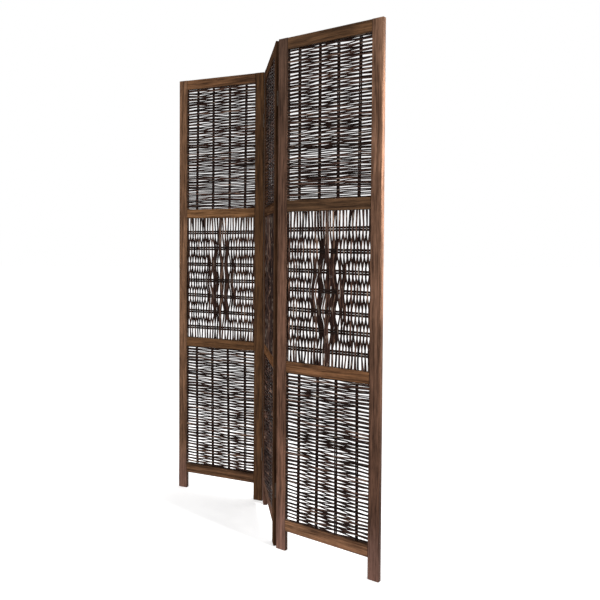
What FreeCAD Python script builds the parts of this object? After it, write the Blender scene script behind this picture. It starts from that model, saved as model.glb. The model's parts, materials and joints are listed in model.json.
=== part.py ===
import FreeCAD, Part
import math
import os

from FreeCAD import Vector

# Folding room divider: three wooden frames with woven willow fields, hinged edge to edge and
# standing in a zigzag. Millimetres, Z up. A panel is modelled in its own coordinates: X across its
# width from the left stile, Y from the front face to the rear face, Z up from the floor. The middle
# panel keeps those coordinates, and the outer panels are swung about their hinge pins to the rest pose.

# Frame
PANEL_WIDTH = 400.0
PANEL_HEIGHT = 1700.0
FRAME_DEPTH = 16.0
STILE_WIDTH = 40.0
RAIL_HEIGHT = 38.0
FOOT_HEIGHT = 66.0
FIELD_COUNT = 3
EASED_EDGE = 2.0

# Mortise and tenon joints
TENON_THICKNESS = 6.0
TENON_LENGTH = 22.0
TENON_SHOULDER = 6.0
GLUE_GAP = 0.1
MORTISE_SPARE = 1.0

# Rods that the fields are woven on, in pairs, seated in grooves of the frame
STAKE_WIDTH = 4.6
STAKE_SPACING = 6.0
STAKE_COUNT = 4
STAKE_MARGIN = 46.0
ROD_WIDTH = 5.2
ROD_SPACING = 8.4
ROD_COUNT = 7
ROD_TOP_MARGIN = 61.5
ROD_BOTTOM_MARGIN = 45.5
ROD_SIDES = 6
GROOVE_DEPTH = 8.0
GROOVE_CLEARANCE = 0.1
ROD_END_GAP = 0.5

# Cleft willow twigs, three-sided, with fewer of them than the real screen has
LEVEL_TWIG_WIDTH = 4.2
LEVEL_TWIG_COUNT = 26
UPRIGHT_TWIG_WIDTH = 3.8
UPRIGHT_TWIG_COUNT = 20
TWIG_SIDES = 3
TWIG_CLEARANCE = 0.1
TWIG_END_GAP = 0.5

# Diamond of floats at the centre of the middle field
DIAMOND_COLUMN = 27.0
DIAMOND_REACH = 2

# Rest pose: how far each outer panel is swung from the line of the middle one, in degrees
LEFT_SWING_ANGLE = 56.0
RIGHT_SWING_ANGLE = 44.5

# Butt hinges, screwed to the stile edges
HINGE_HEIGHT = 50.0
HINGE_INSET = 190.0
LEAF_THICKNESS = 1.2
LEAF_DEPTH = 12.0
LEAF_GAP = 0.6
KNUCKLE_COUNT = 3
KNUCKLE_RADIUS = 2.6
KNUCKLE_SIDES = 12
KNUCKLE_CLEARANCE = 0.3
PIN_RADIUS = 1.25
PIN_CLEARANCE = 0.05
SCREWS_PER_LEAF = 2
SCREW_HEAD_WIDTH = 5.0
SCREW_SHANK_WIDTH = 2.6
SCREW_TIP_WIDTH = 1.0
SCREW_LENGTH = 14.0
SCREW_SPACING = 32.0
SCREW_SIDES = 6

# Sizes worked out from those above
FIELD_WIDTH = PANEL_WIDTH - 2 * STILE_WIDTH
FIELD_HEIGHT = (PANEL_HEIGHT - FOOT_HEIGHT - (FIELD_COUNT + 1) * RAIL_HEIGHT) / FIELD_COUNT
FIELD_STEP = FIELD_HEIGHT + RAIL_HEIGHT
STAKE_PITCH = (FIELD_WIDTH - 2 * STAKE_MARGIN) / (STAKE_COUNT - 1)
ROD_PITCH = (FIELD_HEIGHT - ROD_TOP_MARGIN - ROD_BOTTOM_MARGIN) / (ROD_COUNT - 1)
MID_DEPTH = FRAME_DEPTH / 2
STAKE_GROOVE_WIDTH = STAKE_WIDTH + 2 * GROOVE_CLEARANCE
ROD_GROOVE_WIDTH = ROD_WIDTH + 2 * GROOVE_CLEARANCE
EDGE_GAP = 2 * LEAF_THICKNESS + LEAF_GAP
PIN_STANDOFF = KNUCKLE_RADIUS + KNUCKLE_CLEARANCE
KNUCKLE_LENGTH = HINGE_HEIGHT / KNUCKLE_COUNT

# Fields and rails from the bottom up
LOWER_FIELD, MIDDLE_FIELD, UPPER_FIELD = range(FIELD_COUNT)
BOTTOM_RAIL, LOWER_RAIL, UPPER_RAIL, TOP_RAIL = range(FIELD_COUNT + 1)

UP = Vector(0, 0, 1)
ACROSS = Vector(1, 0, 0)
TINY_ANGLE = 0.01
HALF_TURN = 180


def block(low, high):
    """A box between two corners."""
    size = Vector(*high) - Vector(*low)
    return Part.makeBox(size.x, size.y, size.z, Vector(*low))


def polygon_face(points):
    return Part.Face(Part.makePolygon(points + points[:1]))


def faceted_solid(sections):
    """A closed flat-faced solid through like polygons, one after the other."""
    faces = [polygon_face(sections[0]), polygon_face(sections[-1])]
    for near, far in zip(sections, sections[1:]):
        for i in range(len(near)):
            faces.append(polygon_face([near[i - 1], near[i], far[i], far[i - 1]]))
    solid = Part.Solid(Part.Shell(faces))
    if solid.Volume < 0:
        solid.reverse()
    return solid


def section_offsets(sides, width):
    """Corners of a polygon of a given width in depth, as pairs of depth and sideways offsets."""
    angles = [math.pi / 2 + 2 * math.pi * i / sides for i in range(sides)]
    depths = [math.cos(angle) for angle in angles]
    scale = width / (max(depths) - min(depths))
    return [(scale * math.cos(angle), scale * math.sin(angle)) for angle in angles]


def stick(path, sideways, sides, width):
    """A stick along a path, whose sections all face along the same way."""
    offsets = section_offsets(sides, width)
    return faceted_solid([
        [point + Vector(0, depth, 0) + sideways * side for depth, side in offsets]
        for point in path
    ])


def centred_places(count, pitch, middle):
    """Evenly spaced places about a middle."""
    return [middle + (i - (count - 1) / 2) * pitch for i in range(count)]


def rail_bottom(index):
    """Height of a rail's lower edge, counted from the bottom rail."""
    return FOOT_HEIGHT + index * FIELD_STEP


def field_bottom(index):
    """Height of a field's lower edge, counted from the lower field."""
    return rail_bottom(index) + RAIL_HEIGHT


def eased(shape, along):
    """Chamfers the long edges of a square-cut frame member."""
    long_edges = [edge for edge in shape.Edges if edge.tangentAt(0).isParallel(along, TINY_ANGLE)]
    return shape.makeChamfer(EASED_EDGE, long_edges)


def tenon(index, stile_side_x, direction, spare, slack):
    """A rail's tenon, or with slack the mortise that takes it."""
    bottom = rail_bottom(index)
    low_x, high_x = sorted([stile_side_x, stile_side_x + direction * (TENON_LENGTH + spare)])
    half = TENON_THICKNESS / 2 + slack
    return block(
        (low_x, MID_DEPTH - half, bottom + TENON_SHOULDER - slack),
        (high_x, MID_DEPTH + half, bottom + RAIL_HEIGHT - TENON_SHOULDER + slack),
    )


def stile(left_edge, inner_edge, into_stile):
    """A stile with its four mortises and the groove for the rods of the middle field."""
    shape = eased(block((left_edge, 0, 0), (left_edge + STILE_WIDTH, FRAME_DEPTH, PANEL_HEIGHT)), UP)
    mortises = [
        tenon(i, inner_edge, into_stile, MORTISE_SPARE, GLUE_GAP) for i in range(FIELD_COUNT + 1)
    ]
    low_x, high_x = sorted([inner_edge, inner_edge + into_stile * GROOVE_DEPTH])
    groove = block(
        (low_x, MID_DEPTH - ROD_GROOVE_WIDTH / 2, field_bottom(MIDDLE_FIELD)),
        (high_x, MID_DEPTH + ROD_GROOVE_WIDTH / 2, field_bottom(MIDDLE_FIELD) + FIELD_HEIGHT),
    )
    return shape.cut(mortises + [groove])


def rail(index, groove_on_top):
    """A rail with a tenon at each end and a groove for the stakes of the field beside it."""
    bottom = rail_bottom(index)
    right_end = PANEL_WIDTH - STILE_WIDTH
    body = eased(block((STILE_WIDTH, 0, bottom), (right_end, FRAME_DEPTH, bottom + RAIL_HEIGHT)), ACROSS)
    groove_bottom = bottom + RAIL_HEIGHT - GROOVE_DEPTH if groove_on_top else bottom
    groove = block(
        (STILE_WIDTH, MID_DEPTH - STAKE_GROOVE_WIDTH / 2, groove_bottom),
        (right_end, MID_DEPTH + STAKE_GROOVE_WIDTH / 2, groove_bottom + GROOVE_DEPTH),
    )
    tenons = [tenon(index, STILE_WIDTH, -1, 0, 0), tenon(index, right_end, 1, 0, 0)]
    return body.fuse(tenons).cut(groove).removeSplitter()


def stake_places():
    """Places of the pairs of stakes across a panel."""
    return centred_places(STAKE_COUNT, STAKE_PITCH, PANEL_WIDTH / 2)


def rod_places(field):
    """Heights of the pairs of level rods in a field."""
    return [field_bottom(field) + ROD_BOTTOM_MARGIN + i * ROD_PITCH for i in range(ROD_COUNT)]


def in_pairs(places, spacing):
    """Places of single rods, two by two about the places of their pairs."""
    return [place + side * spacing / 2 for place in places for side in (-1, 1)]


def stakes(field):
    """Upright rods of a field, whose ends sit in the grooves of the rails."""
    reach = GROOVE_DEPTH - ROD_END_GAP
    bottom = field_bottom(field) - reach
    top = field_bottom(field) + FIELD_HEIGHT + reach
    return Part.makeCompound([
        stick([Vector(x, MID_DEPTH, bottom), Vector(x, MID_DEPTH, top)], ACROSS, ROD_SIDES, STAKE_WIDTH)
        for x in in_pairs(stake_places(), STAKE_SPACING)
    ])


def level_rods(field):
    """Level rods of the middle field, whose ends sit in the grooves of the stiles."""
    reach = GROOVE_DEPTH - ROD_END_GAP
    left = STILE_WIDTH - reach
    right = PANEL_WIDTH - STILE_WIDTH + reach
    return Part.makeCompound([
        stick([Vector(left, MID_DEPTH, z), Vector(right, MID_DEPTH, z)], UP, ROD_SIDES, ROD_WIDTH)
        for z in in_pairs(rod_places(field), ROD_SPACING)
    ])


def weave_reach(pitch, rod_width, spacing, twig_width):
    """How far a twig swings from mid depth, so that its slanting runs clear both rods of each pair."""
    at_pair = (rod_width + twig_width) / 2 + TWIG_CLEARANCE
    return at_pair / (1 - (spacing + rod_width) / pitch)


def woven_depths(sides, reach):
    """Depths of a twig at its first end, at each pair of rods and at its last end."""
    depths = [MID_DEPTH - side * reach for side in sides]
    return depths[:1] + depths + depths[-1:]


def level_twigs(field):
    """Twigs of an upper or lower field, in front of and behind the stakes in turn."""
    reach = weave_reach(STAKE_PITCH, STAKE_WIDTH, STAKE_SPACING, LEVEL_TWIG_WIDTH)
    left = STILE_WIDTH + TWIG_END_GAP
    right = PANEL_WIDTH - STILE_WIDTH - TWIG_END_GAP
    along = [left] + stake_places() + [right]
    heights = centred_places(
        LEVEL_TWIG_COUNT, FIELD_HEIGHT / LEVEL_TWIG_COUNT, field_bottom(field) + FIELD_HEIGHT / 2
    )
    twigs = []
    for row, z in enumerate(heights):
        sides = [(-1) ** (row + stake) for stake in range(STAKE_COUNT)]
        path = [Vector(x, y, z) for x, y in zip(along, woven_depths(sides, reach))]
        twigs.append(stick(path, UP, TWIG_SIDES, LEVEL_TWIG_WIDTH))
    return Part.makeCompound(twigs)


def upright_side(twig, x, rod):
    """Side of an upright twig at a rod, 1 in front: plain weave, with a diamond of floats.

    The twigs of a column lie together. They come to the front on the diamond's outline and, in the
    middle column, above and below it, and stay behind the rods inside it and just round it.
    """
    column = abs(round((x - PANEL_WIDTH / 2) / DIAMOND_COLUMN))
    ring = column + abs(rod - (ROD_COUNT - 1) // 2)
    if ring > DIAMOND_REACH + 1:
        return (-1) ** (twig + rod)
    above_or_below = column == 0 and ring > DIAMOND_REACH
    return 1 if ring == DIAMOND_REACH or above_or_below else -1


def upright_twigs(field):
    """Twigs of the middle field, woven on the level rods."""
    reach = weave_reach(ROD_PITCH, ROD_WIDTH, ROD_SPACING, UPRIGHT_TWIG_WIDTH)
    bottom = field_bottom(field)
    along = [bottom + TWIG_END_GAP] + rod_places(field) + [bottom + FIELD_HEIGHT - TWIG_END_GAP]
    places = centred_places(UPRIGHT_TWIG_COUNT, FIELD_WIDTH / UPRIGHT_TWIG_COUNT, PANEL_WIDTH / 2)
    twigs = []
    for twig, x in enumerate(places):
        sides = [upright_side(twig, x, rod) for rod in range(ROD_COUNT)]
        path = [Vector(x, y, z) for z, y in zip(along, woven_depths(sides, reach))]
        twigs.append(stick(path, ACROSS, TWIG_SIDES, UPRIGHT_TWIG_WIDTH))
    return Part.makeCompound(twigs)


def panel():
    """All pieces of one panel in its own coordinates, by name."""
    right_inner = PANEL_WIDTH - STILE_WIDTH
    return {
        "left_stile": stile(0, STILE_WIDTH, -1),
        "right_stile": stile(right_inner, right_inner, 1),
        "bottom_rail": rail(BOTTOM_RAIL, True),
        "lower_rail": rail(LOWER_RAIL, False),
        "upper_rail": rail(UPPER_RAIL, True),
        "top_rail": rail(TOP_RAIL, False),
        "lower_stakes": stakes(LOWER_FIELD),
        "middle_rods": level_rods(MIDDLE_FIELD),
        "upper_stakes": stakes(UPPER_FIELD),
        "lower_twigs": level_twigs(LOWER_FIELD),
        "middle_twigs": upright_twigs(MIDDLE_FIELD),
        "upper_twigs": level_twigs(UPPER_FIELD),
    }


def leaf_screws(side):
    """Screws of one leaf about the hinge pin. Side 1 goes into the middle panel, -1 into the outer one."""
    head_x = EDGE_GAP / 2 - LEAF_THICKNESS
    stations = [
        (head_x, SCREW_HEAD_WIDTH),
        (EDGE_GAP / 2, SCREW_SHANK_WIDTH),
        (head_x + SCREW_LENGTH, SCREW_TIP_WIDTH),
    ]
    y = PIN_STANDOFF + LEAF_DEPTH / 2
    return [
        faceted_solid([
            [Vector(side * x, y + depth, z + up) for depth, up in section_offsets(SCREW_SIDES, width)]
            for x, width in stations
        ])
        for z in centred_places(SCREWS_PER_LEAF, SCREW_SPACING, 0)
    ]


def barrel(radius, bottom, top):
    """A many-sided barrel about the hinge pin, with its corners on a radius."""
    offsets = section_offsets(KNUCKLE_SIDES, 2 * radius)
    return faceted_solid([[Vector(side, depth, z) for depth, side in offsets] for z in (bottom, top)])


def leaf(side, own_knuckles, other_knuckles):
    """A hinge leaf about the hinge pin: a plate on the stile's edge, rolled round the pin."""
    end = HINGE_HEIGHT / 2
    low_x, high_x = sorted([side * (EDGE_GAP / 2 - LEAF_THICKNESS), side * EDGE_GAP / 2])
    plate = block((low_x, 0, -end), (high_x, PIN_STANDOFF + LEAF_DEPTH, end))
    to_corner = 1 / math.cos(math.pi / KNUCKLE_SIDES)
    gap = KNUCKLE_CLEARANCE / 2
    clearances = [
        barrel(PIN_STANDOFF * to_corner, bottom - gap, top + gap) for bottom, top in other_knuckles
    ]
    knuckles = [
        barrel(KNUCKLE_RADIUS, max(bottom + gap, -end), min(top - gap, end)) for bottom, top in own_knuckles
    ]
    bore = barrel((PIN_RADIUS + PIN_CLEARANCE) * to_corner, -HINGE_HEIGHT, HINGE_HEIGHT)
    return plate.cut(clearances).fuse(knuckles).cut([bore] + leaf_screws(side)).removeSplitter()


def hinge():
    """One hinge about its pin, in the flat position, by piece."""
    knuckles = [
        (-HINGE_HEIGHT / 2 + i * KNUCKLE_LENGTH, -HINGE_HEIGHT / 2 + (i + 1) * KNUCKLE_LENGTH)
        for i in range(KNUCKLE_COUNT)
    ]
    fixed_knuckles = knuckles[::2]
    swing_knuckles = knuckles[1::2]
    return {
        "fixed_leaves": leaf(1, fixed_knuckles, swing_knuckles),
        "swing_leaves": leaf(-1, swing_knuckles, fixed_knuckles),
        "pins": Part.makeCylinder(PIN_RADIUS, HINGE_HEIGHT, Vector(0, 0, -HINGE_HEIGHT / 2)),
        "fixed_screws": Part.makeCompound(leaf_screws(1)),
        "swing_screws": Part.makeCompound(leaf_screws(-1)),
    }


def turned(shape, degrees, pivot):
    copy = shape.copy()
    copy.rotate(pivot, UP, degrees)
    return copy


def joint(name, pin, half_turn):
    """The hinges of one joint in the flat position, by node. Like pieces of a joint share a node."""
    nodes = {}
    for piece, shape in hinge().items():
        turned_piece = turned(shape, half_turn, Vector(0, 0, 0))
        solids = []
        for z in (HINGE_INSET, PANEL_HEIGHT - HINGE_INSET):
            solids.extend(turned_piece.translated(pin + Vector(0, 0, z)).Solids)
        nodes[f"{name}_joint_{piece}"] = Part.makeCompound(solids)
    return nodes


def build():
    """All nodes in the rest pose, about the middle of the footprint, and the hinge pins."""
    left_pin = Vector(-EDGE_GAP / 2, -PIN_STANDOFF, 0)
    right_pin = Vector(PANEL_WIDTH + EDGE_GAP / 2, FRAME_DEPTH + PIN_STANDOFF, 0)
    step = Vector(PANEL_WIDTH + EDGE_GAP, 0, 0)
    swings = {
        "left": (-step, LEFT_SWING_ANGLE, left_pin),
        "middle": (Vector(0, 0, 0), 0, left_pin),
        "right": (step, RIGHT_SWING_ANGLE, right_pin),
    }
    hinges = {"left": joint("left", left_pin, 0), "right": joint("right", right_pin, HALF_TURN)}

    # The screws cut their own pilot holes in the stile edges, in the flat position
    bored = {
        "left_right_stile": hinges["left"]["left_joint_swing_screws"],
        "middle_left_stile": hinges["left"]["left_joint_fixed_screws"],
        "middle_right_stile": hinges["right"]["right_joint_fixed_screws"],
        "right_left_stile": hinges["right"]["right_joint_swing_screws"],
    }
    pieces = panel()
    nodes = {}
    for side, (offset, swing, pin) in swings.items():
        for piece, shape in pieces.items():
            name = f"{side}_{piece}"
            placed = shape.translated(offset)
            if name in bored:
                placed = placed.cut(bored[name].Solids)
            nodes[name] = turned(placed, swing, pin)
    for side, joint_nodes in hinges.items():
        offset, swing, pin = swings[side]
        for name, shape in joint_nodes.items():
            nodes[name] = turned(shape, swing, pin) if "swing" in name else shape

    box = Part.makeCompound(list(nodes.values())).BoundBox
    to_origin = Vector(-box.Center.x, -box.Center.y, -box.ZMin)
    placed_nodes = {name: shape.translated(to_origin) for name, shape in nodes.items()}
    return placed_nodes, {"left": left_pin + to_origin, "right": right_pin + to_origin}


def main():
    os.makedirs("parts", exist_ok=True)
    nodes, pins = build()
    for name, shape in nodes.items():
        shape.exportStep(f"parts/{name}.step")
    for side, pin in pins.items():
        print(f"{side} hinge pin at {pin.x:.3f}, {pin.y:.3f}")
    print(f"{len(nodes)} nodes, {sum(len(shape.Solids) for shape in nodes.values())} solids")


main()
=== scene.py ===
"""Folding room divider: stained frames with woven willow fields, in a zigzag on a pale floor."""

import json
import math

import bpy
from bpy.props import FloatProperty, FloatVectorProperty, IntProperty, PointerProperty
from mathutils import Matrix, Quaternion, Vector


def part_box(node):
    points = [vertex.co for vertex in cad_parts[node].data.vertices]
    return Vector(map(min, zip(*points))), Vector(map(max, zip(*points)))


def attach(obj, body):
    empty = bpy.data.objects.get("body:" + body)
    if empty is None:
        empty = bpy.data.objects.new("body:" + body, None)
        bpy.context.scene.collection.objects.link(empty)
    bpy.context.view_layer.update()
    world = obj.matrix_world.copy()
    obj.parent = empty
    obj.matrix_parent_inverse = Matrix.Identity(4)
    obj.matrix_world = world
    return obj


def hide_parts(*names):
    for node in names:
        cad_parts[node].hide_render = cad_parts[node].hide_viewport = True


bl_info = {
    "name": "Woven Room Divider",
    "version": (1, 0, 0),
    "blender": (4, 5, 0),
    "location": "View3D > Sidebar > Divider",
    "description": "Finishes a folding room divider with stained frames and woven willow fields",
    "category": "Object",
}

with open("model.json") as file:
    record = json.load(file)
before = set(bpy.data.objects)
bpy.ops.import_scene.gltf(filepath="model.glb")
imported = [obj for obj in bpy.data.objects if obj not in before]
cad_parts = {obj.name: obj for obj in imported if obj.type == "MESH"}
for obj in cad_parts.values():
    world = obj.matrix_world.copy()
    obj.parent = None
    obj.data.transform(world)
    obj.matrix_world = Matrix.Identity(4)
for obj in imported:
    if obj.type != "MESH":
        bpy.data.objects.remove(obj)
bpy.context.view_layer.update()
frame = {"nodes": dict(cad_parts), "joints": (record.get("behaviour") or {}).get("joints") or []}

PANELS = ("left", "middle", "right")
STILES = ("left_stile", "right_stile")
RAILS = ("bottom_rail", "lower_rail", "upper_rail", "top_rail")
FIELDS = ("lower", "middle", "upper")
LEVEL_FIELDS = ("lower", "upper")
STAKE_PAIRS = 4
ROD_PAIRS = 7

# Seeds of the fields' random draws: the first one, and the steps to the next panel and field
ROD_LEAN_SEEDS = (0, 10, 1)
ROD_SEEDS = (100, 30, 10)
LEVEL_TWIG_SEEDS = (1000, 100, 50)
UPRIGHT_TWIG_SEEDS = (2000, 100, 0)

# The photographed view: place in metres, heading, tilt and roll in degrees,
# lens and sensor in millimetres, and shift
CAMERA_PLACE = (2.39394, -0.22350, 1.01506)
CAMERA_HEADING = 79.36
CAMERA_TILT = -1.47
CAMERA_ROLL = 0.43
CAMERA_LENS = 39.87
CAMERA_SENSOR = 36.0
CAMERA_SHIFT = (-0.0439, -0.0598)

# Lamps: place, target and size in metres, and spread in degrees
LAMPS = {
    "side": ((1.15, 1.0, 1.75), (0.457, 0.317, 1.15), 0.35, 60),
    "rim": ((-0.2, 3.6, 1.5), (0.4, 0.2, 0.9), 1.8, 180),
}

# Colour of the light, half the floor's side in metres, and the glow that whitens it in the picture
WHITE = (1, 1, 1, 1)
FLOOR_REACH = 30.0
FLOOR_LIFT = 0.50


def seed_of(seeds, number, step=0):
    """Seed of a field's draws, by the number of its panel and its step among the fields."""
    first, to_next_panel, to_next_field = seeds
    return first + to_next_panel * number + to_next_field * step


def opaque(colour, share=1.0):
    """A colour for a socket, at a share of its brightness."""
    return (*[share * part for part in colour], 1.0)


def add_object(name, data):
    """A new object in the scene, at the origin."""
    made = bpy.data.objects.new(name, data)
    bpy.context.scene.collection.objects.link(made)
    return made


# Nodes

class Value:
    """A socket's value. Arithmetic on it adds Math nodes to its tree."""

    def __init__(self, graph, socket):
        self.graph = graph
        self.socket = socket

    def other(self, name):
        """Another output of the same node."""
        return Value(self.graph, self.socket.node.outputs[name])

    def __add__(self, value):
        return self.graph.math("ADD", self, value)

    def __radd__(self, value):
        return self.graph.math("ADD", value, self)

    def __sub__(self, value):
        return self.graph.math("SUBTRACT", self, value)

    def __rsub__(self, value):
        return self.graph.math("SUBTRACT", value, self)

    def __mul__(self, value):
        return self.graph.math("MULTIPLY", self, value)

    def __rmul__(self, value):
        return self.graph.math("MULTIPLY", value, self)

    def __truediv__(self, value):
        return self.graph.math("DIVIDE", self, value)

    def __rtruediv__(self, value):
        return self.graph.math("DIVIDE", value, self)

    def __lt__(self, value):
        return self.graph.math("LESS_THAN", self, value)

    def __gt__(self, value):
        return self.graph.math("GREATER_THAN", self, value)

    def __mod__(self, value):
        return self.graph.math("FLOORED_MODULO", self, value)

    def __abs__(self):
        return self.graph.math("ABSOLUTE", self)

    def floor(self):
        return self.graph.math("FLOOR", self)

    def at_least(self, value):
        return self.graph.math("MAXIMUM", self, value)

    def at_most(self, value):
        return self.graph.math("MINIMUM", self, value)

    def between(self, low, high):
        """0 below low, 1 above high and smooth in between."""
        return self.graph.node("ShaderNodeMapRange", {"interpolation_type": "SMOOTHSTEP"}, {
            "Value": self, "From Min": low, "From Max": high,
        })


class Graph:
    """Adds nodes to one tree."""

    def __init__(self, tree):
        self.tree = tree

    def node(self, kind, settings=None, values=None):
        """Adds a node, makes its settings, then sets or links its sockets.

        Returns its first output in use.
        """
        node = self.tree.nodes.new(kind)
        for name, setting in (settings or {}).items():
            if name == "stops":
                self.set_stops(node.color_ramp, setting)
            else:
                setattr(node, name, setting)
        for key, value in (values or {}).items():
            by_number = isinstance(key, int)
            socket = node.inputs[key] if by_number else self.socket_in_use(node.inputs, key)
            if isinstance(value, Value):
                self.tree.links.new(value.socket, socket)
            else:
                socket.default_value = value
        outputs = [socket for socket in node.outputs if socket.enabled]
        return Value(self, outputs[0]) if outputs else None

    @staticmethod
    def socket_in_use(sockets, name):
        return next(socket for socket in sockets if socket.name == name and socket.enabled)

    @staticmethod
    def set_stops(ramp, stops):
        while len(ramp.elements) < len(stops):
            ramp.elements.new(1.0)
        for element, (position, colour) in zip(ramp.elements, stops):
            element.position = position
            element.color = opaque(colour)

    def math(self, operation, *operands):
        return self.node("ShaderNodeMath", {"operation": operation}, dict(enumerate(operands)))

    def vector(self, x, y, z):
        return self.node("ShaderNodeCombineXYZ", None, {"X": x, "Y": y, "Z": z})

    def noise(self, place, scale=1.0, detail=2.0, roughness=0.55):
        values = {"Vector": place, "Scale": scale, "Detail": detail, "Roughness": roughness}
        return self.node("ShaderNodeTexNoise", None, values)

    def mix(self, factor, first, second, blend="MIX"):
        """Mixes colours."""
        settings = {"data_type": "RGBA", "blend_type": blend}
        return self.node("ShaderNodeMix", settings, {"Factor": factor, "A": first, "B": second})

    def ramp(self, value, stops):
        return self.node("ShaderNodeValToRGB", {"stops": stops}, {"Fac": value})


class GeometryGraph(Graph):
    """A Geometry Nodes tree with named inputs and named random draws."""

    SOCKETS = {
        int: "NodeSocketInt", float: "NodeSocketFloat", bpy.types.Material: "NodeSocketMaterial",
    }

    def __init__(self, name, inputs, draws):
        super().__init__(bpy.data.node_groups.new(name, "GeometryNodeTree"))
        self.draws = draws
        self.identifiers = {}
        sockets = self.tree.interface
        for label, kind in inputs.items():
            socket = sockets.new_socket(label, in_out="INPUT", socket_type=self.SOCKETS[kind])
            self.identifiers[label] = socket.identifier
        sockets.new_socket("Geometry", in_out="OUTPUT", socket_type="NodeSocketGeometry")
        self.group_input = self.tree.nodes.new("NodeGroupInput")

    def given(self, label):
        return Value(self, self.group_input.outputs[label])

    def random(self, low, high, key, seed):
        values = {"Min": low, "Max": high, "ID": key, "Seed": seed}
        return self.node("FunctionNodeRandomValue", {"data_type": "FLOAT"}, values)

    def draw(self, name, key, low=-1.0, high=1.0):
        """A random value for each key. Each draw's seed is counted on from the given one."""
        return self.random(low, high, key, self.given("Seed") + self.draws.index(name))

    def store(self, geometry, name, value, data_type="FLOAT"):
        settings = {"data_type": data_type, "domain": "POINT"}
        values = {"Geometry": geometry, "Name": name, "Value": value}
        return self.node("GeometryNodeStoreNamedAttribute", settings, values)

    def finish_sticks(self, count, position, radius, stick, order, tint):
        """Round sticks through points in order, each with its own tint, to the tree's output."""
        points = self.node("GeometryNodePoints", None, {"Count": count, "Position": position})
        lines = self.node("GeometryNodePointsToCurves", None, {
            "Points": points, "Curve Group ID": stick, "Weight": order,
        })
        outline = self.node("GeometryNodeCurvePrimitiveCircle", None, {
            "Resolution": self.given("Sides"), "Radius": 1.0,
        })
        solid = self.node("GeometryNodeCurveToMesh", None, {
            "Curve": self.store(lines, "tint", tint), "Profile Curve": outline,
            "Scale": radius, "Fill Caps": True,
        })
        here = self.node("GeometryNodeInputPosition")
        marked = self.store(solid, "bark", here, "FLOAT_VECTOR")
        smooth = self.node("GeometryNodeSetShadeSmooth", None, {"Geometry": marked})
        real = self.node("GeometryNodeRealizeInstances", None, {"Geometry": smooth})
        finished = self.node("GeometryNodeSetMaterial", None, {
            "Geometry": real, "Material": self.given("Material"),
        })
        self.node("NodeGroupOutput", None, {"Geometry": finished})

    def mesh(self, name, inputs):
        """The tree's result for these inputs, as a plain mesh."""
        maker = add_object(name, bpy.data.meshes.new(name))
        modifier = maker.modifiers.new(name, "NODES")
        modifier.node_group = self.tree
        for label, value in inputs.items():
            modifier[self.identifiers[label]] = value
        depsgraph = bpy.context.evaluated_depsgraph_get()
        made = bpy.data.meshes.new_from_object(maker.evaluated_get(depsgraph))
        bpy.data.objects.remove(maker)
        return made


# Places on the divider, read from the frame

def panel_origin():
    """Lower left front corner of the middle panel."""
    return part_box("middle_left_stile")[0]


def panel_swing(panel):
    """Hinge pin and angle of a panel's turn from the line of the middle one."""
    for fold in frame["joints"]:
        if fold["child"] == f"{panel}_panel":
            return Vector(fold["pos_m"]), -math.radians(fold["range_deg"][0])
    return Vector(), 0.0


def panel_matrix(panel):
    """From a panel's coordinates: X from its left edge, Y from its front and Z from the floor."""
    origin = panel_origin()
    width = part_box("middle_right_stile")[1].x - origin.x
    edge_gap = 2 * (origin.x - panel_swing("left")[0].x)
    step = {"left": -1, "middle": 0, "right": 1}[panel] * (width + edge_gap)
    pin, swing = panel_swing(panel)
    turn = Matrix.Translation(pin) @ Matrix.Rotation(swing, 4, "Z") @ Matrix.Translation(-pin)
    return turn @ Matrix.Translation(origin + Vector((step, 0, 0)))


def field_box(field):
    """A field's lower left and upper right corners, in panel coordinates, at mid depth."""
    step = FIELDS.index(field)
    below, above = [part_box(f"middle_{rail}") for rail in RAILS[step:step + 2]]
    left, right = [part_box(f"middle_{stile}") for stile in STILES]
    origin = panel_origin()
    depth = (left[1].y - left[0].y) / 2
    low = Vector((left[1].x - origin.x, depth, below[1].z))
    high = Vector((right[0].x - origin.x, depth, above[0].z))
    return low, high


def field_matrix(panel, field):
    """From a field's weave, with twigs along X, one beside the other along Y and fronts up Z."""
    low, high = field_box(field)
    if field == "middle":
        axes = Matrix(((0, -1, 0), (0, 0, -1), (1, 0, 0)))
        corner = Vector((high.x, low.y, low.z))
    else:
        axes = Matrix(((1, 0, 0), (0, 0, -1), (0, 1, 0)))
        corner = low
    return panel_matrix(panel) @ Matrix.Translation(corner) @ axes.to_4x4()


def field_size(field):
    """Length of a field's twigs and the width that they fill."""
    low, high = field_box(field)
    across, up = high.x - low.x, high.z - low.z
    return (up, across) if field == "middle" else (across, up)


def rod_node(panel, field):
    """Name of the node of a field's rods."""
    kind = "rods" if field == "middle" else "stakes"
    return f"{panel}_{field}_{kind}"


def rod_box(field):
    """Corners of the frame's own rods in a field, from the field's lower left corner."""
    low = field_box(field)[0]
    return [corner - panel_origin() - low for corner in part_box(rod_node("middle", field))]


def rod_ends(field):
    """Where the rods of a field start and end, from the field's edge beside the first twig."""
    low, high = rod_box(field)
    if field == "middle":
        width = field_size(field)[1]
        return width - high.x, width - low.x
    return low.z, high.z


def rod_thickness(field):
    """Depth of the frame's own rods in a field."""
    low, high = rod_box(field)
    return high.y - low.y


def rod_sizes(weave, field):
    """Radius of a field's rods, and the distance between the two of a pair."""
    if field == "middle":
        return weave.rod_radius, weave.rod_spacing
    return weave.stake_radius, weave.stake_spacing


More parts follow.
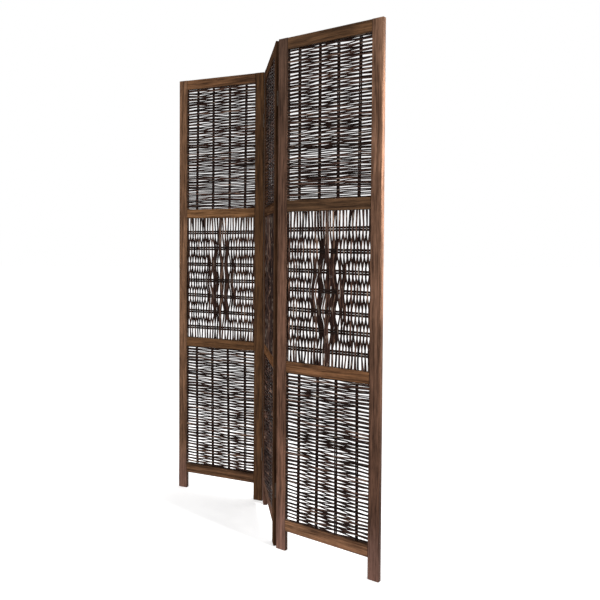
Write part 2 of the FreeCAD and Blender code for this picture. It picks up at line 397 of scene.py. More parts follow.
def rod_layout(weave, number, field):
    """Inputs that place the pairs of rods in a field, for the rods and for the twigs on them."""
    length, width = field_size(field)
    upright_twigs = field == "middle"
    middle = sum(rod_box(field), Vector()) / 2
    return {
        "Rods": ROD_PAIRS if upright_twigs else STAKE_PAIRS,
        "Rod Middle": middle.z if upright_twigs else middle.x,
        "Rod Pitch": weave.rod_pitch if upright_twigs else weave.stake_pitch,
        "Lean": weave.lean, "Rod Seed": seed_of(ROD_LEAN_SEEDS, number, FIELDS.index(field)),
        "Length": length, "Width": width,
    }


# Weave

ROD_INPUTS = {
    "Rods": int, "Rod Middle": float, "Rod Pitch": float, "Lean": float, "Rod Seed": int,
    "Length": float, "Width": float,
}

# Random draws, in the order of their seeds
ROD_DRAWS = ("drift", "thickness", "tint")
TWIG_DRAWS = (
    "thickness", "taper", "twig drift", "point drift", "depth", "tint",
    "crossing", "lumps", "bunch", "peeling", "end stray",
)

# Inputs that all rods share, and how much thinner or thicker a rod gets on its way
ROD_SHAPE = {"Sides": 7, "Points": 7, "Looseness": 0.0004}
ROD_SWELL = (-0.10, 0.04)

# Inputs that all twigs share, and those of the level and of the upright twigs
TWIG_SHAPE = {"Sides": 5, "End Gap": 0.0004, "Spread": 0.20, "Taper": 0.18, "Bunching": 0.34}
LEVEL_TWIGS = {"End Stray": 0.0010, "Swell": 0.04, "Diamond": 0}
UPRIGHT_TWIGS = {"End Stray": 0.0030, "Swell": 0.13, "Diamond": 2}

# Room beside a pair of rods before a twig bends, and left free at rods, frame edges and faces
LEVEL_SLACK = 0.0015
UPRIGHT_SLACK = 0.0065
ROD_GAP = 0.0001
EDGE_GAP = 0.0002
FACE_GAP = 0.0001

# A twig has points before and after each pair of rods, and one where it crosses the gap to the
# next pair. Each point has its own lump, depth and drift.
POINTS_AT_RODS = 3
CROSSING = (0.45, 0.55)
LUMPS = 0.08
DEPTH_STRAY = 0.0002
POINT_DRIFT = 0.8

# Waves that neighbouring twigs share, by twig, by metre along it and with their shift,
# how much stronger the coarse ones are, and how near the frame they calm down
COARSE_WAVES = (0.13, 7, 0)
FINE_WAVES = (0.37, 16, 40)
COARSE_SHARE = 2
CALM_EDGE = 0.02

# Floats of the diamond: half their share of a column, and how they bunch, swell, drift and peel
FLOAT_SHARE = 0.37
BUNCHED_BEHIND = 0.35
BUNCH_STRAY = 0.0025
KEYS_PER_COLUMN = 31
FLOAT_SWELL = 0.14
FLOAT_DRIFT = 1.5
PEELED_TINT = 0.25


def rod_place(graph, rod, share):
    """Where a pair of rods stands along the twigs, at a share of the width that they fill.

    Each pair leans a little.
    """
    given = graph.given
    even = given("Rod Middle") + (rod - (given("Rods") - 1) / 2) * given("Rod Pitch")
    near = graph.random(-1.0, 1.0, rod, given("Rod Seed"))
    far = graph.random(-1.0, 1.0, rod, given("Rod Seed") + 1)
    return even + given("Lean") * (near + share * (far - near))


def weave_graph():
    """Twigs woven in front of and behind pairs of rods, with a diamond of floats if wanted."""
    graph = GeometryGraph("Woven field", {
        **ROD_INPUTS, "Twigs": int, "Hold": float, "Rod Depth": float, "Radius": float,
        "Depth": float, "Sides": int, "End Gap": float, "Looseness": float, "Waviness": float,
        "End Stray": float, "Spread": float, "Taper": float, "Swell": float, "Diamond": int,
        "Column": float, "Bunching": float, "Seed": int, "Material": bpy.types.Material,
    }, TWIG_DRAWS)
    given, draw = graph.given, graph.draw
    steps = given("Rods") * POINTS_AT_RODS + 1
    index = graph.node("GeometryNodeInputIndex")
    twig = ((index + 0.5) / steps).floor()
    place = index - twig * steps
    rod = ((place - 0.5) / POINTS_AT_RODS).floor()
    part = place - 1 - rod * POINTS_AT_RODS
    in_gap = part > 1.5
    last_rod = given("Rods") - 1
    near_rod = rod.at_least(0)
    next_rod = (rod + 1).at_most(last_rod)

    # Along the twig
    share = (twig + 0.5) / given("Twigs")
    even = share * given("Width")
    first = place < 0.5
    last = place > steps - 1.5
    near_place = rod_place(graph, near_rod, share)
    next_place = rod_place(graph, next_rod, share)
    at_rods = near_place + given("Hold") * (part * 2 - 1)
    between_rods = near_place + draw("crossing", index, *CROSSING) * (next_place - near_place)
    inner = at_rods + in_gap * (between_rods - at_rods)
    from_start = given("End Gap") + (1 - first) * (inner - given("End Gap"))
    far_end = given("Length") - given("End Gap")
    along = from_start + last * (far_end - from_start)

    # Floats of the diamond, in columns of twigs and rings round the middle rod
    columns = (even - given("Width") / 2) / given("Column")
    column = (columns + 0.5).floor()
    in_float = abs(columns - column) < FLOAT_SHARE
    in_diamond = (abs(column) < given("Diamond") + 0.5) * (given("Diamond") > 0.5) * in_float

    def ring(at):
        return abs(column) + abs(at - last_rod / 2)

    def grouped(at):
        return (ring(at) < given("Diamond") + 1.5) * in_diamond

    def in_front(at):
        on_outline = abs(ring(at) - given("Diamond")) < 0.5
        at_tips = (ring(at) > given("Diamond") + 0.5) * (abs(column) < 0.5)
        return grouped(at) * on_outline.at_least(at_tips)

    def side(at):
        plain = 1 - (twig + at) % 2 * 2
        floats = in_front(at) * 2 - 1
        return plain + grouped(at) * (floats - plain)

    def peeled(at):
        return grouped(at) * (1 - in_front(at)) * draw("peeling", twig, 0.0, 1.0)

    def bunch(at):
        shares = BUNCHED_BEHIND * grouped(at) + (1 - BUNCHED_BEHIND) * in_front(at)
        return given("Bunching") * shares

    def bunch_middle(at):
        stray = draw("bunch", column * KEYS_PER_COLUMN + at, -BUNCH_STRAY, BUNCH_STRAY)
        return column * given("Column") + given("Width") / 2 + stray

    def blended(at):
        return at(near_rod) + in_gap * 0.5 * (at(next_rod) - at(near_rod))

    # Thickness
    thickness = 1 + given("Spread") * draw("thickness", twig)
    taper = 1 + given("Taper") * draw("taper", twig) * (along / given("Length") * 2 - 1)
    lumps = 1 + draw("lumps", index, -LUMPS, LUMPS) + in_gap * given("Swell")
    radius = given("Radius") * thickness * taper * (lumps + blended(grouped) * FLOAT_SWELL)

    # Across the field and in depth
    def waves(by_twig, by_metre, shift):
        where = graph.vector(twig * by_twig, along * by_metre, given("Seed") + shift)
        return graph.noise(where, detail=1.0) - 0.5

    calm = (even.at_most(given("Width") - even) / CALM_EDGE).at_most(1)
    swing = given("Waviness") * (waves(*COARSE_WAVES) * COARSE_SHARE + waves(*FINE_WAVES)) * calm
    drift = draw("twig drift", twig) + draw("point drift", index, -POINT_DRIFT, POINT_DRIFT)
    stray = given("Looseness") * drift * (1 + FLOAT_DRIFT * blended(grouped)) + swing
    slant = (first + last) * given("End Stray") * draw("end stray", index)
    pull = blended(lambda at: bunch(at) * (bunch_middle(at) - even))
    edge = radius + EDGE_GAP
    across = (even + pull + stray + slant).at_least(edge).at_most(given("Width") - edge)
    reach = (given("Rod Depth") + radius + ROD_GAP).at_most(given("Depth") - radius)
    depth = blended(side) * reach + draw("depth", index, -DEPTH_STRAY, DEPTH_STRAY)

    graph.finish_sticks(
        given("Twigs") * steps, graph.vector(along, across, depth), radius, twig, place,
        draw("tint", twig, 0.0, 1.0) + blended(peeled) * PEELED_TINT,
    )
    return graph


def rod_graph():
    """Straight rods in pairs, which the twigs are woven on."""
    graph = GeometryGraph("Rods in pairs", {
        **ROD_INPUTS, "Pair Spacing": float, "Start": float, "End": float, "Radius": float,
        "Sides": int, "Points": int, "Looseness": float, "Seed": int,
        "Material": bpy.types.Material,
    }, ROD_DRAWS)
    given, draw = graph.given, graph.draw
    index = graph.node("GeometryNodeInputIndex")
    rod = ((index + 0.5) / given("Points")).floor()
    place = index - rod * given("Points")
    part = place / (given("Points") - 1)
    pair = (rod / 2 + 0.25).floor()
    in_pair = rod - pair * 2 - 0.5
    across = given("Start") + part * (given("End") - given("Start"))
    middle = rod_place(graph, pair, across / given("Width"))
    drift = given("Looseness") * draw("drift", index)
    along = middle + in_pair * given("Pair Spacing") + drift
    radius = given("Radius") * (1 + draw("thickness", index, *ROD_SWELL))
    graph.finish_sticks(
        given("Rods") * 2 * given("Points"), graph.vector(along, across, 0.0), radius, rod, place,
        draw("tint", rod, 0.0, 1.0),
    )
    return graph


def add_piece(name, mesh, body, node):
    """A finished piece that moves with a body and stands for a node of the frame."""
    piece = add_object(name, mesh)
    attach(piece, body)
    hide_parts(node)


def set_field_rods(graph, weave, number, field, bark, seed):
    """Sets the rods of one field of one panel, as flat as the frame's own."""
    panel = PANELS[number]
    radius, spacing = rod_sizes(weave, field)
    start, end = rod_ends(field)
    mesh = graph.mesh("rods", {
        **rod_layout(weave, number, field), **ROD_SHAPE,
        "Pair Spacing": spacing, "Radius": radius, "Start": start, "End": end,
        "Seed": seed, "Material": bark,
    })
    flatness = rod_thickness(field) / (2 * radius)
    mesh.transform(field_matrix(panel, field) @ Matrix.Diagonal((1, 1, flatness, 1)))
    node = rod_node(panel, field)
    add_piece(f"{node}_bark", mesh, f"{panel}_panel", node)


def weave_field(graph, weave, number, field, bark, seed):
    """Weaves one field of one panel."""
    panel = PANELS[number]
    upright = field == "middle"
    rod_radius, spacing = rod_sizes(weave, field)
    mesh = graph.mesh("twigs", {
        **rod_layout(weave, number, field), **TWIG_SHAPE,
        **(UPRIGHT_TWIGS if upright else LEVEL_TWIGS),
        "Twigs": weave.upright_twigs if upright else weave.level_twigs,
        "Hold": spacing / 2 + rod_radius + (UPRIGHT_SLACK if upright else LEVEL_SLACK),
        "Rod Depth": rod_thickness(field) / 2, "Depth": field_box(field)[0].y - FACE_GAP,
        "Radius": getattr(weave, f"{field}_radius"), "Column": weave.diamond_column,
        "Looseness": weave.looseness, "Waviness": weave.waviness,
        "Seed": seed, "Material": bark,
    })
    mesh.transform(field_matrix(panel, field))
    node = f"{panel}_{field}_twigs"
    add_piece(f"{node}_bark", mesh, f"{panel}_panel", node)


# Finishes

# Tone of each member at its lower or left end and at the other: partly its stain, partly painted
# light and shade, such as paler feet and darker members in shade near the folds. The plain tone,
# which the middle panel's other members keep, is darker as painted shade.
PLAIN_STAIN_AND_SHADE_TONE = ((0.55, 0.53, 0.50), (0.55, 0.53, 0.50))
STAIN_LIGHT_AND_SHADE_TONES = {
    "left_left_stile": ((1.34, 1.35, 1.33), (1.41, 1.42, 1.35)),
    "left_right_stile": ((0.80, 0.74, 0.59), (0.63, 0.57, 0.40)),
    "left_top_rail": ((1.15, 1.05, 0.85), (1.00, 0.92, 0.75)),
    "left_upper_rail": ((1.48, 1.41, 1.09), (1.38, 1.31, 0.99)),
    "left_lower_rail": ((0.92, 0.85, 0.64), (0.92, 0.85, 0.64)),
    "left_bottom_rail": ((1.00, 0.95, 0.85), (1.00, 0.95, 0.85)),
    "middle_left_stile": ((0.62, 0.58, 0.57), (0.50, 0.48, 0.45)),
    "middle_lower_rail": ((1.15, 1.05, 0.88), (1.15, 1.05, 0.88)),
    "middle_bottom_rail": ((1.15, 1.25, 1.55), (1.15, 1.25, 1.55)),
    "right_left_stile": ((1.41, 1.34, 1.49), (0.60, 0.63, 0.73)),
    "right_right_stile": ((0.60, 0.53, 0.59), (1.40, 1.45, 1.57)),
    "right_top_rail": ((0.72, 0.69, 0.57), (0.88, 0.83, 0.66)),
    "right_upper_rail": ((0.58, 0.58, 0.50), (0.60, 0.60, 0.52)),
    "right_lower_rail": ((1.25, 1.12, 0.88), (1.30, 1.16, 0.92)),
    "right_bottom_rail": ((1.50, 1.45, 1.30), (1.45, 1.36, 1.26)),
}

# Figure of the wood: waves in a metre across the grain and along it,
# and the detail and roughness of the noise
WOOD_FIGURE = {
    "wander": (5, 2.2, 2.0, 0.55),
    "cloud": (22, 7, 2.0, 0.55),
    "broad": (95, 3.2, 2.0, 0.55),
    "streak": (240, 11, 3.0, 0.6),
    "fibre": (700, 26, 2.0, 0.6),
    "pores": (1400, 45, 1.0, 0.55),
    "smear": (170, 13, 3.0, 0.55),
}

# Waves from one member's figure to the next one's and from grain to smears,
# and how far the grain wanders in metres
MEMBER_SHIFT = 3.7
SMEAR_SHIFT = 11
GRAIN_WANDER = 0.020

# Grain: the shares of the figures, the level taken off them, and the values of its three colours
GRAIN_SHARES = {"cloud": 0.5, "broad": 0.9, "streak": 0.9, "fibre": 0.6}
GRAIN_LEVEL = 0.95
DARK_GRAIN, MIDDLE_GRAIN, LIGHT_GRAIN = 0.28, 0.50, 0.72

# How far the middle colour is from dark to light, and what is left of dark where stain gathers and
# where shade is painted
MIDDLE_STAIN = 0.45
DEEP_STAIN_AND_SHADE = 0.45

# Marks on the wood, of stain and of painted light and shade: between which values, heights or
# distances they come in, and their strength
SMEARS, SMEAR_SHARE = (0.58, 0.74), 0.45
PORES, PORE_SHARE = (0.58, 0.70), 0.5
EDGE_STAIN_AND_SEAM_SHADE, EDGE_STAIN_AND_SHADE_SHARE = (0.0006, 0.0030), 0.45
SHADED_INNER_FACES, INNER_FACE_SHADE_SHARE = (0.0002, 0.0012), 0.65
FLOOR_LIT_HEIGHTS, FLOOR_LIGHT_SHARE = (0.05, 0.22), 0.75

# Stiles whose feet are painted paler as light from the floor, and the colours of their painted
# floor-lit grain
FLOOR_LIT_STILES = ("left_left_stile", "middle_left_stile", "right_left_stile", "right_right_stile")
FLOOR_LIT_DARK = (0.165, 0.086, 0.064)
FLOOR_LIT_LIGHT = (0.350, 0.186, 0.142)

# Gloss of each panel's wood, and of bark. The middle panel is seen nearly edge on,
# where gloss would turn its wood white.
WOOD_GLOSS = {"left": 0.06, "middle": 0.0, "right": 0.06}
BARK_GLOSS = 0.05

# Roughness: its plain level, and how much the finer marks and the pores or rubbed places change it
WOOD_ROUGHNESS = (0.42, 0.25, 0.15)
BARK_ROUGHNESS = (0.40, 0.3)
METAL_ROUGHNESS = (0.42, 0.3, 0.1)

# Relief: the shares of fibres or streaks and of pores or spots, and the bump of each finish
RELIEF_SHARES = (0.7, 0.3)
WOOD_BUMP = {"Strength": 0.4, "Distance": 0.0006}
BARK_BUMP = {"Strength": 0.5, "Distance": 0.0005}
METAL_BUMP = {"Strength": 0.2, "Distance": 0.0002}

# Bark from the darkest sticks to the palest
TWIG_STOPS = [
    (0.0, (0.0075, 0.0036, 0.0030)),
    (0.50, (0.029, 0.0135, 0.0106)),
    (0.78, (0.078, 0.040, 0.030)),
    (0.90, (0.140, 0.074, 0.052)),
    (1.0, (0.320, 0.200, 0.140)),
]
ROD_STOPS = [
    (0.0, (0.010, 0.0055, 0.0045)),
    (1.0, (0.028, 0.014, 0.0105)),
]

# Place on these stops: the shares of a stick's tint and of the patches on it, and a level added
TINT_SHARE, PATCH_SHARE, TINT_LEVEL = 0.7, 1.1, 0.15

# Figure of the bark: waves in a metre along a stick and across it, and the detail of the noise.
# The figure of the painted glints is one layer of noise, the same at any depth.
BARK_FIGURE = {"patch": (14, 70, 2.0), "streak": (60, 900, 2.0), "spots": (420, 700, 1.0)}
GLINT_FIGURE = (34, 260, 1.0)
GLINT_LAYER = 0.5

# Marks on the bark: between which values they come in, their strength and colour,
# and between which distances from mid depth the painted highlight comes in
STREAKS, STREAK_SHARE, STREAK_COLOUR = (0.52, 0.72), 0.30, (0.090, 0.048, 0.030)
KNOTS, KNOT_SHARE, KNOT_COLOUR = (0.60, 0.72), 0.6, (0.008, 0.005, 0.004)
BULGE_GLINTS, GLINT_SHARE, GLINT_COLOUR = (0.60, 0.65), 0.32, (0.55, 0.43, 0.34)
GLINT_DEPTH = (0.0054, 0.0066)

# Hinge metal: the scales of its clouds and scratches, and where and how much it is rubbed brighter
METALLIC = 0.9
METAL_CLOUDS, METAL_CLOUD_DETAIL = 140.0, 3.0
METAL_SCRATCHES = (900, 900, 60)
BRIGHT_METAL, BRIGHT_SHARE, BRIGHTNESS = (0.52, 0.70), 0.6, 2.2


def new_material(name):
    material = bpy.data.materials.new(name)
    material.use_nodes = True
    material.node_tree.nodes.clear()
    return material, Graph(material.node_tree)


def surface(graph, constants, colour, rough, relief, bump):
    """A principled surface: constants are set on its own sockets, and what varies is linked."""
    normal = graph.node("ShaderNodeBump", None, {**bump, "Height": relief})
    shader = graph.node("ShaderNodeBsdfPrincipled", None, {
        **constants, "Base Color": colour, "Roughness": rough, "Normal": normal,
    })
    graph.node("ShaderNodeOutputMaterial", None, {"Surface": shader})


def background_rays(graph):
    """1 for the rays that show the white background: to the camera, or by way of gloss or glass."""
    paths = graph.node("ShaderNodeLightPath")
    shown = paths.other("Is Camera Ray").at_least(paths.other("Is Glossy Ray"))
    return shown.at_least(paths.other("Is Transmission Ray"))


def stained_wood(panel, member, finish, seed):
    """Stained wood along a member, with painted light and shade: darker edges, partly stain and
    partly painted seam shade, painted shade on the stiles' inner faces, painted floor light on some
    feet.
    """
    node = f"{panel}_{member}"
    material, graph = new_material(f"stained_{node}")
    inverse = panel_matrix(panel).inverted()
    here = graph.node("ShaderNodeTexCoord").other("Object")
    local = graph.node("ShaderNodeMapping", {"vector_type": "POINT"}, {
        "Vector": here, "Location": inverse.to_translation(), "Rotation": inverse.to_euler(),
    })
    sideways = graph.node("ShaderNodeSeparateXYZ", None, {"Vector": local})
    depth, height = sideways.other("Y"), sideways.other("Z")
    upright = member in STILES
    along, across = (height, sideways) if upright else (sideways, height)
    corners = [corner - panel_origin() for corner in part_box(f"middle_{member}")]
    low, high = [corner.x if upright else corner.z for corner in corners]
    start, end = [corner.z if upright else corner.x for corner in corners]

    def figure(kind, place, shift):
        wide, tall, detail, roughness = WOOD_FIGURE[kind]
        where = graph.vector(place * wide, depth * wide, along * tall + shift)
        return graph.noise(where, detail=detail, roughness=roughness)

    # Grain, with a tone that changes from one end of the member to the other, partly stain and
    # partly painted light and shade
    shift = MEMBER_SHIFT * seed
    bent = across + (figure("wander", across, shift) - 0.5) * GRAIN_WANDER
    grains = {kind: figure(kind, bent, shift) for kind in GRAIN_SHARES}
    fibre = grains["fibre"]
    grain = sum(grains[kind] * share for kind, share in GRAIN_SHARES.items()) - GRAIN_LEVEL
    dark, light = Vector(finish.stain_dark), Vector(finish.stain_light)
    middle = dark.lerp(light, MIDDLE_STAIN)
    colour = graph.ramp(grain, [(DARK_GRAIN, dark), (MIDDLE_GRAIN, middle), (LIGHT_GRAIN, light)])
    # Each end's tone: the stain together with painted light and shade
    first, last = [opaque(tone) for tone in STAIN_LIGHT_AND_SHADE_TONES.get(node, PLAIN_STAIN_AND_SHADE_TONE)]
    tone = graph.mix((along - start) / (end - start), first, last)
    colour = graph.mix(1.0, colour, tone, "MULTIPLY")
    # Painted floor light: these stiles' feet are paler, as if lit by the white floor
    if node in FLOOR_LIT_STILES:
        floor_lit = graph.ramp(grain, [(DARK_GRAIN, FLOOR_LIT_DARK), (LIGHT_GRAIN, FLOOR_LIT_LIGHT)])
        colour = graph.mix((1 - height.between(*FLOOR_LIT_HEIGHTS)) * FLOOR_LIGHT_SHARE, colour, floor_lit)

    # Places where the stain gathers, and painted shade along the seams and on the stiles' inner
    # faces
    deep_stain_and_shade = opaque(dark, DEEP_STAIN_AND_SHADE)
    smear = figure("smear", bent, shift + SMEAR_SHIFT)
    colour = graph.mix(smear.between(*SMEARS) * SMEAR_SHARE, colour, deep_stain_and_shade)
    pores = figure("pores", bent, shift).between(*PORES)
    colour = graph.mix(pores * PORE_SHARE, colour, deep_stain_and_shade)
    # Darker edges: partly stain that gathers there, partly painted shade along the seams between
    # members
    to_edge = (across - low).at_most(high - across)
    colour = graph.mix((1 - to_edge.between(*EDGE_STAIN_AND_SEAM_SHADE)) * EDGE_STAIN_AND_SHADE_SHARE, colour, deep_stain_and_shade)
    # Painted shade, with some deeper stain, on each stile's inner face beside the fields
    if upright:
        to_inner_face = high - across if member == "left_stile" else across - low
        colour = graph.mix((1 - to_inner_face.between(*SHADED_INNER_FACES)) * INNER_FACE_SHADE_SHARE, colour, deep_stain_and_shade)

    plain, by_fibre, in_pores = WOOD_ROUGHNESS
    rough = plain + (fibre - 0.5) * by_fibre + pores * in_pores
    relief = fibre * RELIEF_SHARES[0] + (1 - pores) * RELIEF_SHARES[1]
    gloss = {"Specular IOR Level": WOOD_GLOSS[panel]}
    surface(graph, gloss, colour, rough, relief, WOOD_BUMP)
    return material


def willow_bark(name, stops):
    """Dark bark with a tint for each stick, and a painted highlight of pale glints in streaks where
    twigs bulge over rods.
    """
    material, graph = new_material(name)
    tint = graph.node("ShaderNodeAttribute", {"attribute_name": "tint"}).other("Fac")
    bark = graph.node("ShaderNodeAttribute", {"attribute_name": "bark"}).other("Vector")
    along = graph.node("ShaderNodeSeparateXYZ", None, {"Vector": bark})
    across, depth = along.other("Y"), along.other("Z")

    def figure(lengthwise, wide, detail):
        where = graph.vector(along * lengthwise, across * wide, depth * wide)
        return graph.noise(where, detail=detail)

    patch, streak, spots = [figure(*BARK_FIGURE[kind]) for kind in ("patch", "streak", "spots")]
    tone = tint * TINT_SHARE + (patch - 0.5) * PATCH_SHARE + TINT_LEVEL
    colour = graph.ramp(tone, stops)
    colour = graph.mix(streak.between(*STREAKS) * STREAK_SHARE, colour, opaque(STREAK_COLOUR))
    colour = graph.mix(spots.between(*KNOTS) * KNOT_SHARE, colour, opaque(KNOT_COLOUR))

    # Painted highlight: pale glints where twigs bulge in front of or behind the rods
    lengthwise, wide, detail = GLINT_FIGURE
    where = graph.vector(along * lengthwise, across * wide, GLINT_LAYER)
    paler_spots = abs(depth).between(*GLINT_DEPTH) * graph.noise(where, detail=detail).between(*BULGE_GLINTS)
    colour = graph.mix(paler_spots * GLINT_SHARE, colour, opaque(GLINT_COLOUR))

    plain, by_streak = BARK_ROUGHNESS
    rough = plain + (streak - 0.5) * by_streak
    relief = streak * RELIEF_SHARES[0] + spots * RELIEF_SHARES[1]
    surface(graph, {"Specular IOR Level": BARK_GLOSS}, colour, rough, relief, BARK_BUMP)
    return material


def dark_bronze(name, finish):
    """Darkened hinge metal, rubbed brighter in places."""
    material, graph = new_material(name)
    here = graph.node("ShaderNodeTexCoord").other("Object")
    cloud = graph.noise(here, METAL_CLOUDS, METAL_CLOUD_DETAIL)
    stretched = graph.node("ShaderNodeMapping", None, {"Vector": here, "Scale": METAL_SCRATCHES})
    scratch = graph.noise(stretched)
    paler_spots = cloud.between(*BRIGHT_METAL)
    base, bright = opaque(finish.hinge_colour), opaque(finish.hinge_colour, BRIGHTNESS)
    colour = graph.mix(paler_spots * BRIGHT_SHARE, base, bright)
    plain, by_scratch, in_rubs = METAL_ROUGHNESS
    rough = plain + (scratch - 0.5) * by_scratch - paler_spots * in_rubs
    surface(graph, {"Metallic": METALLIC}, colour, rough, scratch, METAL_BUMP)
    return material


# Settings

class DividerFinish(bpy.types.PropertyGroup):
    """Colours of the frames and hinges"""

    stain_dark: FloatVectorProperty(
        name="Dark grain", description="Colour of the frame's dark grain lines",
        subtype="COLOR", min=0, max=1, default=(0.0484, 0.0232, 0.0121),
    )
    stain_light: FloatVectorProperty(
        name="Light grain", description="Colour of the frame's light grain lines",
        subtype="COLOR", min=0, max=1, default=(0.253, 0.132, 0.0753),
    )
    hinge_colour: FloatVectorProperty(
        name="Hinge metal", description="Colour of the darkened hinge metal",
        subtype="COLOR", min=0, max=1, default=(0.075, 0.055, 0.042),
    )


class DividerWeave(bpy.types.PropertyGroup):
    """Sizes of the woven fields"""

    level_twigs: IntProperty(
        name="Level twigs", description="Twigs one above the other in an upper or lower field",
        min=8, default=84,
    )
    upright_twigs: IntProperty(
        name="Upright twigs", description="Twigs side by side in a middle field",
        min=8, default=53,
    )
    upper_radius: FloatProperty(
        name="Upper twig radius",
        description="Half the thickness of a common twig in an upper field",
        unit="LENGTH", min=0.0005, default=0.00263, precision=4,
    )
    middle_radius: FloatProperty(
        name="Middle twig radius",
        description="Half the thickness of a common twig in a middle field",
        unit="LENGTH", min=0.0005, default=0.0029, precision=4,
    )
    lower_radius: FloatProperty(
        name="Lower twig radius",
        description="Half the thickness of a common twig in a lower field",
        unit="LENGTH", min=0.0005, default=0.00262, precision=4,
    )
    stake_radius: FloatProperty(
        name="Stake radius", description="Half the thickness of the upright rods",
        unit="LENGTH", min=0.0005, default=0.0029, precision=4,
    )
    rod_radius: FloatProperty(
        name="Rod radius", description="Half the thickness of the level rods",
        unit="LENGTH", min=0.0005, default=0.0038, precision=4,
    )
    stake_spacing: FloatProperty(
        name="Stake spacing", description="Distance between the two upright rods of a pair",
        unit="LENGTH", min=0.001, default=0.0060, precision=4,
    )
    rod_spacing: FloatProperty(
        name="Rod spacing", description="Distance between the two level rods of a pair",
        unit="LENGTH", min=0.001, default=0.0079, precision=4,
    )
    stake_pitch: FloatProperty(
        name="Stake pitch", description="Distance between pairs of upright rods",
        unit="LENGTH", min=0.01, default=0.076, precision=4,
    )
    rod_pitch: FloatProperty(
        name="Rod pitch", description="Distance between pairs of level rods",
        unit="LENGTH", min=0.01, default=0.0645, precision=4,
    )
    lean: FloatProperty(
        name="Lean", description="How far the end of a pair of rods strays from its even place",
        unit="LENGTH", min=0.0, default=0.0045, precision=4,
    )
    looseness: FloatProperty(
        name="Looseness", description="How far a twig strays from its even place",
        unit="LENGTH", min=0.0, default=0.0006, precision=4,
    )
    waviness: FloatProperty(
        name="Waviness", description="How far neighbouring twigs stray together",
        unit="LENGTH", min=0.0, default=0.0057, precision=4,
    )
    diamond_column: FloatProperty(
        name="Diamond column", description="Width of a column of floats in the diamond",
        unit="LENGTH", min=0.005, default=0.0272, precision=4,
    )


class DividerStage(bpy.types.PropertyGroup):
    """Light and floor"""

    floor_colour: FloatVectorProperty(
        name="Floor", description="Colour of the floor",
        subtype="COLOR", min=0, max=1, default=(0.86, 0.86, 0.86),
    )
    sky_light: FloatProperty(
        name="Sky light", description="Strength of the even light from all round",
        min=0, default=0.75,
    )
    side_light: FloatProperty(
        name="Side light", description="Power of the lamp on the outer edge of the right panel",
        unit="POWER", min=0, default=12.0,
    )
    rim_light: FloatProperty(
        name="Rim light", description="Power of the large soft lamp behind the divider",
        unit="POWER", min=0, default=30.0,
    )


# Operators

class DIVIDER_OT_finish_frames(bpy.types.Operator):
    """Give each stile and rail its own stained wood, with painted light and shade in its tone"""

    bl_idname = "divider.finish_frames"
    bl_label = "Finish Frames"

    def execute(self, context):
        members = [(panel, member) for panel in PANELS for member in STILES + RAILS]
        for seed, (panel, member) in enumerate(members, 1):
            wood = stained_wood(panel, member, context.scene.divider_finish, seed)
            frame["nodes"][f"{panel}_{member}"].material_slots[0].material = wood
        return {"FINISHED"}


class DIVIDER_OT_set_rods(bpy.types.Operator):
    """Set the rods of all fields into the grooves of the frames"""

    bl_idname = "divider.set_rods"
    bl_label = "Set Rods"

    def execute(self, context):
        weave = context.scene.divider_weave
        graph = rod_graph()
        bark = willow_bark("rod_bark", ROD_STOPS)
        for number in range(len(PANELS)):
            for step, field in enumerate(FIELDS):
                seed = seed_of(ROD_SEEDS, number, step)
                set_field_rods(graph, weave, number, field, bark, seed)
        return {"FINISHED"}


class DIVIDER_OT_weave_level_fields(bpy.types.Operator):
    """Weave level twigs on the stakes of the upper and lower fields"""

    bl_idname = "divider.weave_level_fields"
    bl_label = "Weave Upper and Lower Fields"

    def execute(self, context):
        weave = context.scene.divider_weave
        graph = weave_graph()
        bark = willow_bark("level_twig_bark", TWIG_STOPS)
        for number in range(len(PANELS)):
            for step, field in enumerate(LEVEL_FIELDS):
                seed = seed_of(LEVEL_TWIG_SEEDS, number, step)
                weave_field(graph, weave, number, field, bark, seed)
        return {"FINISHED"}


class DIVIDER_OT_weave_middle_fields(bpy.types.Operator):
    """Weave upright twigs with a diamond of floats on the level rods of the middle fields"""

    bl_idname = "divider.weave_middle_fields"
    bl_label = "Weave Middle Fields"

    def execute(self, context):
        weave = context.scene.divider_weave
        graph = weave_graph()
        bark = willow_bark("upright_twig_bark", TWIG_STOPS)
        for number in range(len(PANELS)):
            seed = seed_of(UPRIGHT_TWIG_SEEDS, number)
            weave_field(graph, weave, number, "middle", bark, seed)
        return {"FINISHED"}


class DIVIDER_OT_finish_hinges(bpy.types.Operator):
    """Give the hinges, pins and screws their darkened metal"""

    bl_idname = "divider.finish_hinges"
    bl_label = "Finish Hinges"

    def execute(self, context):
        metal = dark_bronze("dark_bronze", context.scene.divider_finish)
        for node, piece in frame["nodes"].items():
            if "_joint_" in node:
                piece.material_slots[0].material = metal
        return {"FINISHED"}


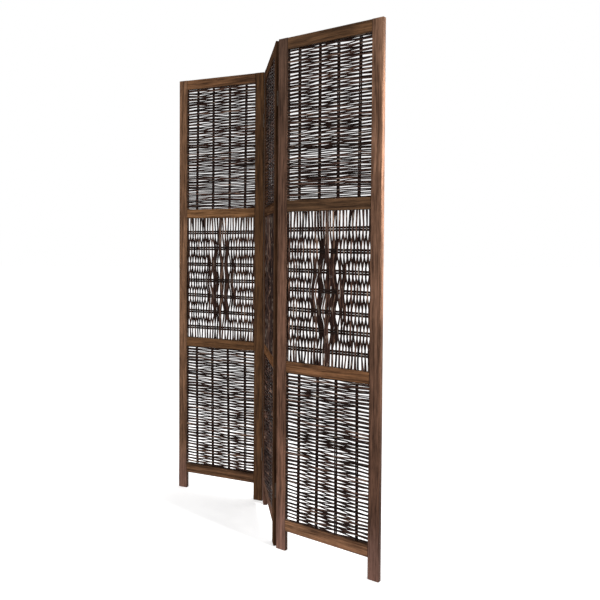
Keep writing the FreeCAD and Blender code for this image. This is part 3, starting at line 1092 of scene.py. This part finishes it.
class DIVIDER_OT_set_stage(bpy.types.Operator):
    """Set the floor, the light and the camera"""

    bl_idname = "divider.set_stage"
    bl_label = "Set Stage"

    def execute(self, context):
        stage = context.scene.divider_stage
        self.lay_floor(stage)
        self.set_light(context.scene, stage)
        self.set_camera(context.scene)
        context.scene.view_settings.view_transform = "Standard"
        return {"FINISHED"}

    def lay_floor(self, stage):
        mesh = bpy.data.meshes.new("floor")
        reach = FLOOR_REACH
        corners = [(-reach, -reach, 0), (reach, -reach, 0), (reach, reach, 0), (-reach, reach, 0)]
        mesh.from_pydata(corners, [], [(0, 1, 2, 3)])
        floor = add_object("floor", mesh)
        material, graph = new_material("pale_floor")
        matt = graph.node("ShaderNodeBsdfDiffuse", None, {"Color": opaque(stage.floor_colour)})
        lift = graph.node("ShaderNodeEmission", None, {
            "Color": WHITE, "Strength": background_rays(graph) * FLOOR_LIFT,
        })
        both = graph.node("ShaderNodeAddShader", None, {0: matt, 1: lift})
        graph.node("ShaderNodeOutputMaterial", None, {"Surface": both})
        mesh.materials.append(material)

    def set_light(self, scene, stage):
        world = bpy.data.worlds.new("white_room")
        world.use_nodes = True
        world.node_tree.nodes.clear()
        graph = Graph(world.node_tree)
        strength = stage.sky_light + background_rays(graph) * (1.0 - stage.sky_light)
        sky = graph.node("ShaderNodeBackground", None, {"Color": WHITE, "Strength": strength})
        graph.node("ShaderNodeOutputWorld", None, {"Surface": sky})
        scene.world = world
        for name in LAMPS:
            self.add_lamp(name, getattr(stage, f"{name}_light"))

    def add_lamp(self, name, power):
        place, target, size, spread = LAMPS[name]
        data = bpy.data.lights.new(f"{name}_lamp", "AREA")
        data.energy = power
        data.size = size
        data.spread = math.radians(spread)
        lamp = add_object(f"{name}_lamp", data)
        lamp.location = place
        lamp.rotation_euler = (Vector(target) - Vector(place)).to_track_quat("-Z", "Y").to_euler()
        lamp.visible_camera = False

    def set_camera(self, scene):
        data = bpy.data.cameras.new("camera")
        data.lens = CAMERA_LENS
        data.sensor_width = CAMERA_SENSOR
        data.shift_x, data.shift_y = CAMERA_SHIFT
        heading, tilt = math.radians(CAMERA_HEADING), math.radians(CAMERA_TILT)
        forward = Vector((
            -math.sin(heading) * math.cos(tilt), math.cos(heading) * math.cos(tilt), math.sin(tilt),
        ))
        camera = add_object("camera", data)
        camera.location = CAMERA_PLACE
        roll = Quaternion((0, 0, 1), math.radians(CAMERA_ROLL))
        camera.rotation_euler = (forward.to_track_quat("-Z", "Y") @ roll).to_euler()
        scene.camera = camera


class DIVIDER_PT_sidebar(bpy.types.Panel):
    """Shows the divider's operators and their settings"""

    bl_idname = "DIVIDER_PT_sidebar"
    bl_label = "Room Divider"
    bl_space_type = "VIEW_3D"
    bl_region_type = "UI"
    bl_category = "Divider"

    def draw(self, context):
        layout = self.layout
        for operator in OPERATORS:
            layout.operator(operator.bl_idname)
        for group, kind in SETTINGS.items():
            box = layout.box()
            for name in kind.__annotations__:
                box.prop(getattr(context.scene, group), name)


SETTINGS = {
    "divider_finish": DividerFinish, "divider_weave": DividerWeave, "divider_stage": DividerStage,
}
OPERATORS = (
    DIVIDER_OT_finish_frames, DIVIDER_OT_set_rods, DIVIDER_OT_weave_level_fields,
    DIVIDER_OT_weave_middle_fields, DIVIDER_OT_finish_hinges, DIVIDER_OT_set_stage,
)


def register():
    for kind in (*SETTINGS.values(), *OPERATORS, DIVIDER_PT_sidebar):
        bpy.utils.register_class(kind)
    for name, kind in SETTINGS.items():
        setattr(bpy.types.Scene, name, PointerProperty(type=kind))


def unregister():
    for name in SETTINGS:
        delattr(bpy.types.Scene, name)
    for kind in (DIVIDER_PT_sidebar, *reversed(OPERATORS), *SETTINGS.values()):
        bpy.utils.unregister_class(kind)


def main():
    register()
    bpy.ops.divider.finish_frames()
    bpy.ops.divider.set_rods()
    bpy.ops.divider.weave_level_fields()
    bpy.ops.divider.weave_middle_fields()
    bpy.ops.divider.finish_hinges()
    bpy.ops.divider.set_stage()


if __name__ == "__main__":
    main()
